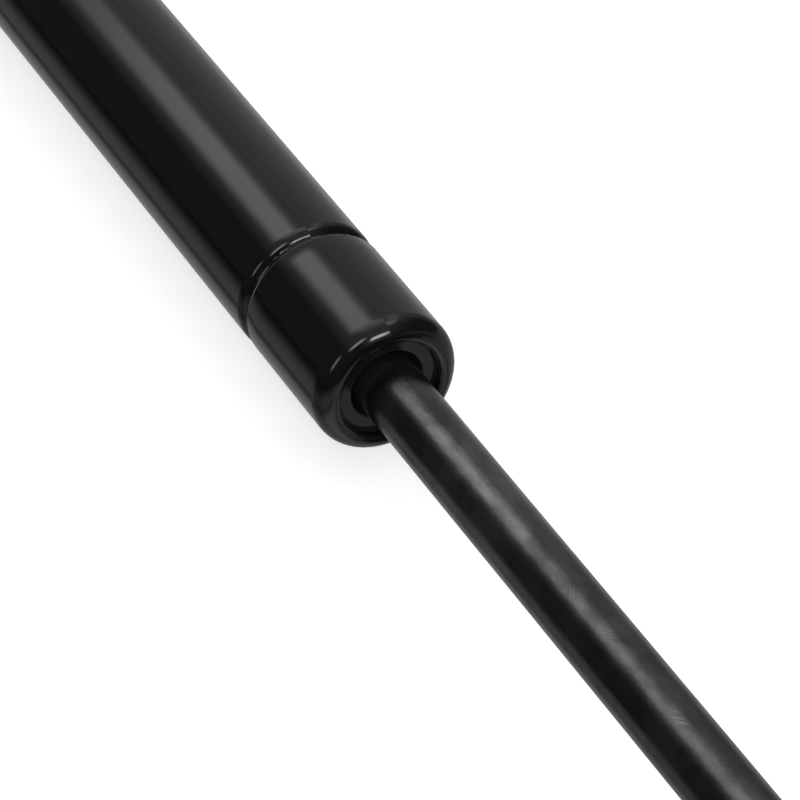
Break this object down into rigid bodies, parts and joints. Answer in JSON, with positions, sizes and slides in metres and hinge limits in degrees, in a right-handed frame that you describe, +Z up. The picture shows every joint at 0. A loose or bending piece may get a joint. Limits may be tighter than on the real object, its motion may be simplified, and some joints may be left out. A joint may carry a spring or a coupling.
{
  "type": "gas strut",
  "caption": "Gas strut with a black tube and rod, ball sockets with wire safety clips, and flat screw-on brackets with ball studs at both ends.",
  "frame": {"origin": "centre of the base bracket's mounting face, on the base ball stud's axis", "axes": "+X along the strut from the base towards the rod end, +Z up out of the mounting faces"},
  "size_m": [0.5035, 0.04, 0.0275],
  "materials": {
    "tube_paint": "gloss black paint over steel",
    "guide_paint": "black paint overspray over steel",
    "rod_nitride": "satin black nitrided and polished steel",
    "fitting_zinc": "bright zinc plate",
    "bracket_zinc": "zinc-plated pressed sheet",
    "stud_steel": "zinc-plated turned steel",
    "clip_wire": "drawn spring wire",
    "plug_steel": "turned steel",
    "inner_steel": "bare pressed steel",
    "bush_bronze": "bronze with a dull grey film",
    "seal_rubber": "oil-proof rubber",
    "ring_plastic": "low-friction plastic",
    "piston_alloy": "die-cast alloy"
  },
  "bodies": {
    "base_mount": {"base_bracket": "bracket_zinc", "base_ball_stud": "stud_steel"},
    "cylinder": {"pressure_tube": "tube_paint", "end_plug": "plug_steel", "end_plug_oring": "seal_rubber", "rod_guide": "guide_paint", "guide_bush": "bush_bronze", "seal_backup_ring": "ring_plastic", "rod_seal": "seal_rubber", "seal_support_washer": "inner_steel", "base_jam_nut": "fitting_zinc", "base_ball_socket": "fitting_zinc"},
    "base_clip": {"base_safety_clip": "clip_wire"},
    "floating_ring": {"piston_ring": "ring_plastic"},
    "rod": {"piston_rod": "rod_nitride", "piston_front_disc": "inner_steel", "piston_body": "piston_alloy", "piston_back_washer": "inner_steel", "rod_jam_nut": "fitting_zinc", "rod_ball_socket": "fitting_zinc"},
    "rod_clip": {"rod_safety_clip": "clip_wire"},
    "rod_mount": {"rod_bracket": "bracket_zinc", "rod_ball_stud": "stud_steel"}
  },
  "joints": [
    {"name": "base_swivel", "type": "hinge", "parent": "base_mount", "child": "cylinder", "pos_m": [0, 0, 0.016], "axis": [0, 0, 1], "continuous": true},
    {"name": "stroke", "type": "slide", "parent": "cylinder", "child": "floating_ring", "axis": [-1, 0, 0], "range_m": [0, 0.15], "stiffness_N_per_m": 600, "springref_m": -0.5},
    {"name": "rod_spin", "type": "hinge", "parent": "floating_ring", "child": "rod", "pos_m": [0.22, 0, 0.016], "axis": [1, 0, 0], "continuous": true},
    {"name": "rod_swivel", "type": "hinge", "parent": "rod", "child": "rod_mount", "pos_m": [0.44349, 0, 0.016], "axis": [0, 0, 1], "continuous": true},
    {"name": "base_clip_swing", "type": "hinge", "parent": "cylinder", "child": "base_clip", "pos_m": [-0.00563, 0, 0.01128], "axis": [0, -1, 0], "range_deg": [0, 95]},
    {"name": "rod_clip_swing", "type": "hinge", "parent": "rod", "child": "rod_clip", "pos_m": [0.44912, 0, 0.01128], "axis": [0, 1, 0], "range_deg": [0, 95]}
  ]
}
